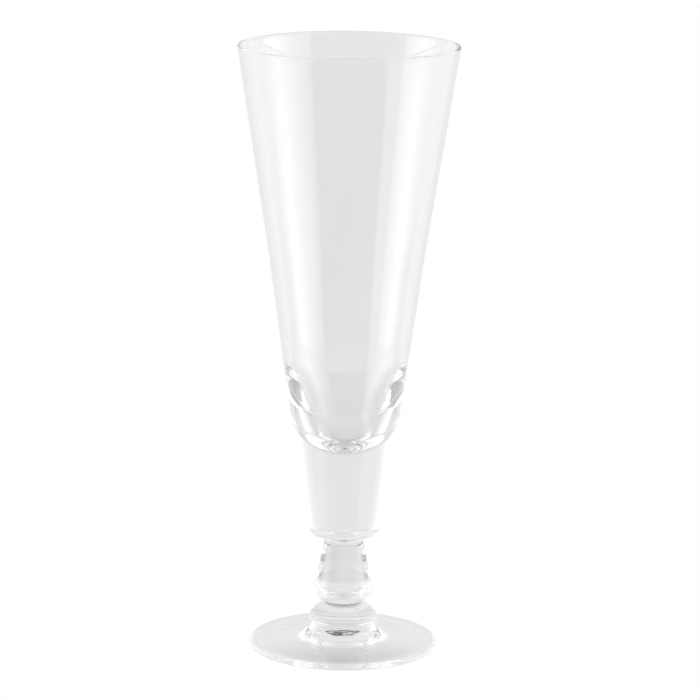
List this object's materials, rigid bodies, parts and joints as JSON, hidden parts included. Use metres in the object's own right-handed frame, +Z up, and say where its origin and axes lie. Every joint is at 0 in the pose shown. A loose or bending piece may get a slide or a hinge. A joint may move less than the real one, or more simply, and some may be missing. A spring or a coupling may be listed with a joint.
{
  "type": "footed pilsner glass",
  "caption": "Tall footed pilsner glass of clear glass: a flared bowl on a thick solid base, a low collar, a stem widening downward, a round knop and a wide foot.",
  "frame": {"origin": "on the table, under the middle of the foot", "axes": "+Z up along the glass's axis; the glass is round, so +X and +Y are any two level directions"},
  "size_m": [0.0826, 0.0826, 0.23],
  "materials": {
    "clear_glass": "clear colourless soda-lime glass, fire polished, with faint ripples from the making",
    "thick_glass": "the same clear glass in solid pieces, fire polished, slightly grey where it is thick"
  },
  "bodies": {
    "root": {"bowl": "clear_glass", "bowl_base": "thick_glass", "collar": "thick_glass", "stem": "thick_glass", "knop": "thick_glass", "foot": "clear_glass"}
  },
  "joints": []
}
